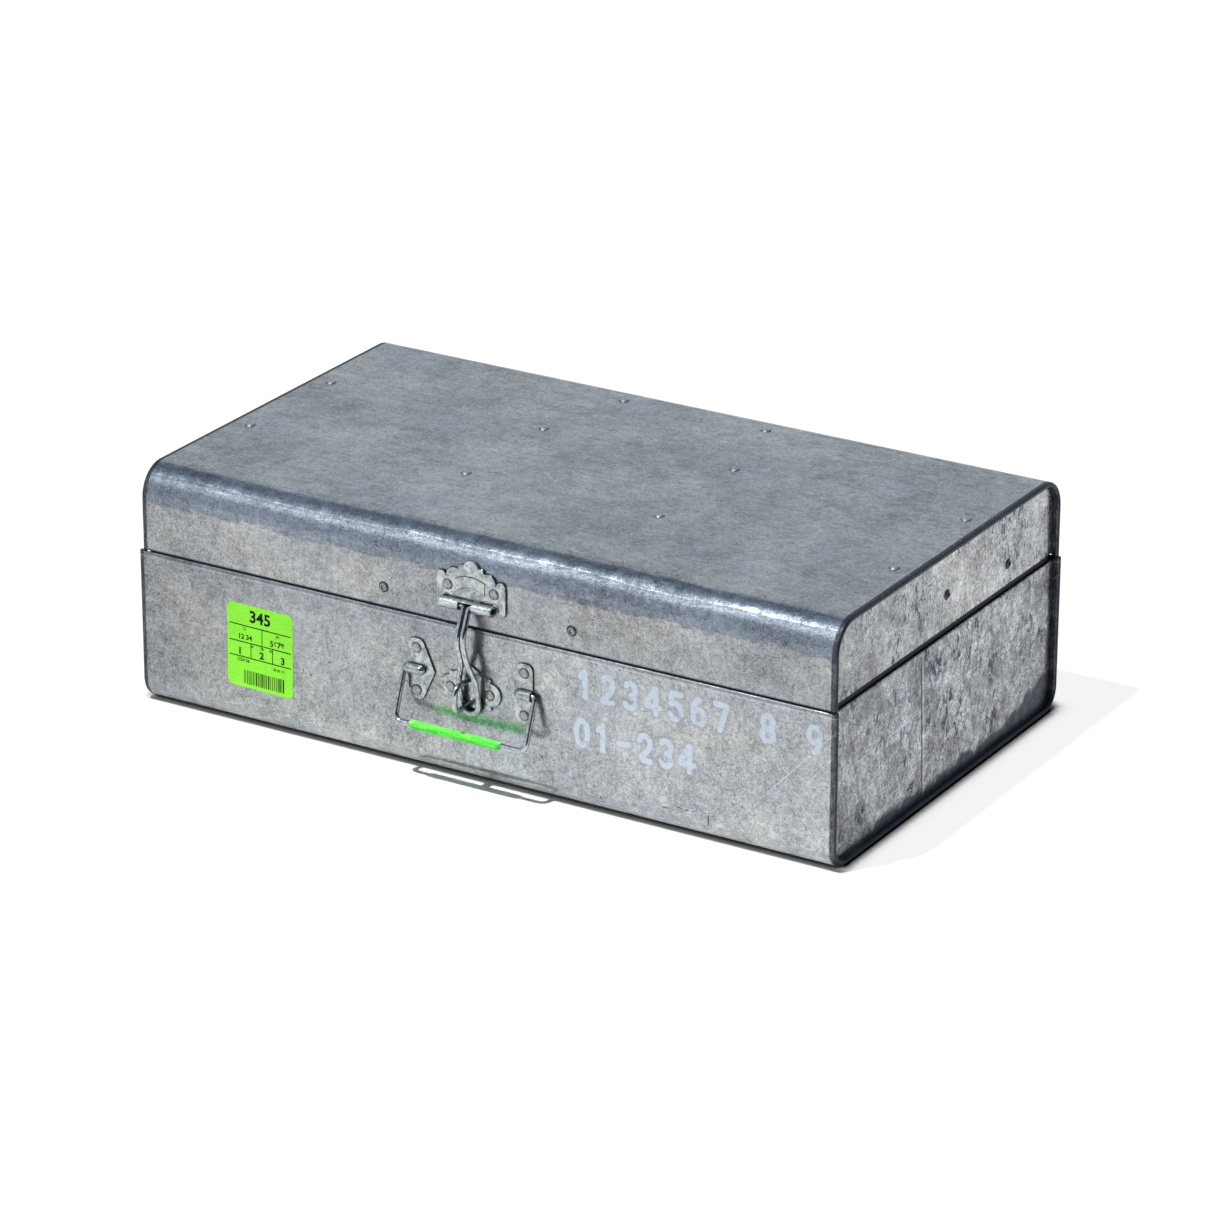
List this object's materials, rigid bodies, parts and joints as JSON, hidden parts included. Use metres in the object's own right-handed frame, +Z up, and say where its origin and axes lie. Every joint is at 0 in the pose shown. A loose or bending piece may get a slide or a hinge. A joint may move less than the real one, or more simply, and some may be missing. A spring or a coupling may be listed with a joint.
{
  "type": "small steel trunk",
  "caption": "Low galvanised steel trunk with a rear-hinged lid, a wire hasp over a padlock staple and a wire carrying handle on the front.",
  "frame": {"origin": "middle of the base's underside, which stands on the floor", "axes": "+X along the trunk's width to the right as seen from the front, -Y out of the front with the hasp, +Z up"},
  "size_m": [0.39, 0.249, 0.1241],
  "materials": {
    "galvanised_sheet": "galvanised, mottled and worn",
    "dark_lip_steel": "dull, dark with age",
    "plated_fittings": "zinc plated, slightly warm",
    "plated_wire": "bright zinc plated wire",
    "rivet_metal": "dull, slightly pink",
    "green_sleeve": "fluorescent green plastic tube",
    "green_label": "fluorescent green adhesive paper"
  },
  "bodies": {
    "base": {"base_shell": "galvanised_sheet", "base_end_right": "galvanised_sheet", "base_end_left": "galvanised_sheet", "keeper_plate": "plated_fittings", "keeper_staple": "plated_wire", "keeper_rivets": "rivet_metal", "handle_bracket_left": "plated_fittings", "handle_bracket_right": "plated_fittings", "handle_bracket_rivets": "rivet_metal", "hinge_leaf_base_left": "plated_fittings", "hinge_leaf_base_right": "plated_fittings", "hinge_rivets_base": "rivet_metal", "address_label": "green_label"},
    "lid": {"lid_shell": "galvanised_sheet", "lid_end_right": "galvanised_sheet", "lid_end_left": "galvanised_sheet", "lid_lip_front": "dark_lip_steel", "lid_lip_right": "dark_lip_steel", "lid_lip_left": "dark_lip_steel", "lid_lip_rivets": "rivet_metal", "lid_strap_front": "galvanised_sheet", "lid_strap_rear": "galvanised_sheet", "lid_strap_back": "galvanised_sheet", "lid_strap_rivets": "rivet_metal", "hasp_plate": "plated_fittings", "hasp_plate_rivets": "rivet_metal", "hinge_leaf_lid_left": "plated_fittings", "hinge_leaf_lid_right": "plated_fittings", "hinge_rivets_lid": "rivet_metal", "hinge_pin_left": "plated_wire", "hinge_pin_right": "plated_wire"},
    "hasp": {"hasp_link": "plated_wire"},
    "handle": {"handle_bail": "plated_wire", "handle_sleeve": "green_sleeve"}
  },
  "joints": [
    {"name": "lid_hinge", "type": "hinge", "parent": "base", "child": "lid", "pos_m": [0, 0.1164, 0.0802], "axis": [-1, 0, 0], "range_deg": [0, 175]},
    {"name": "hasp_swing", "type": "hinge", "parent": "lid", "child": "hasp", "pos_m": [0, -0.11543, 0.0917], "axis": [-1, 0, 0], "range_deg": [0, 70]},
    {"name": "handle_swing", "type": "hinge", "parent": "base", "child": "handle", "pos_m": [0, -0.11565, 0.0532], "axis": [-1, 0, 0], "range_deg": [-19, 130]}
  ]
}
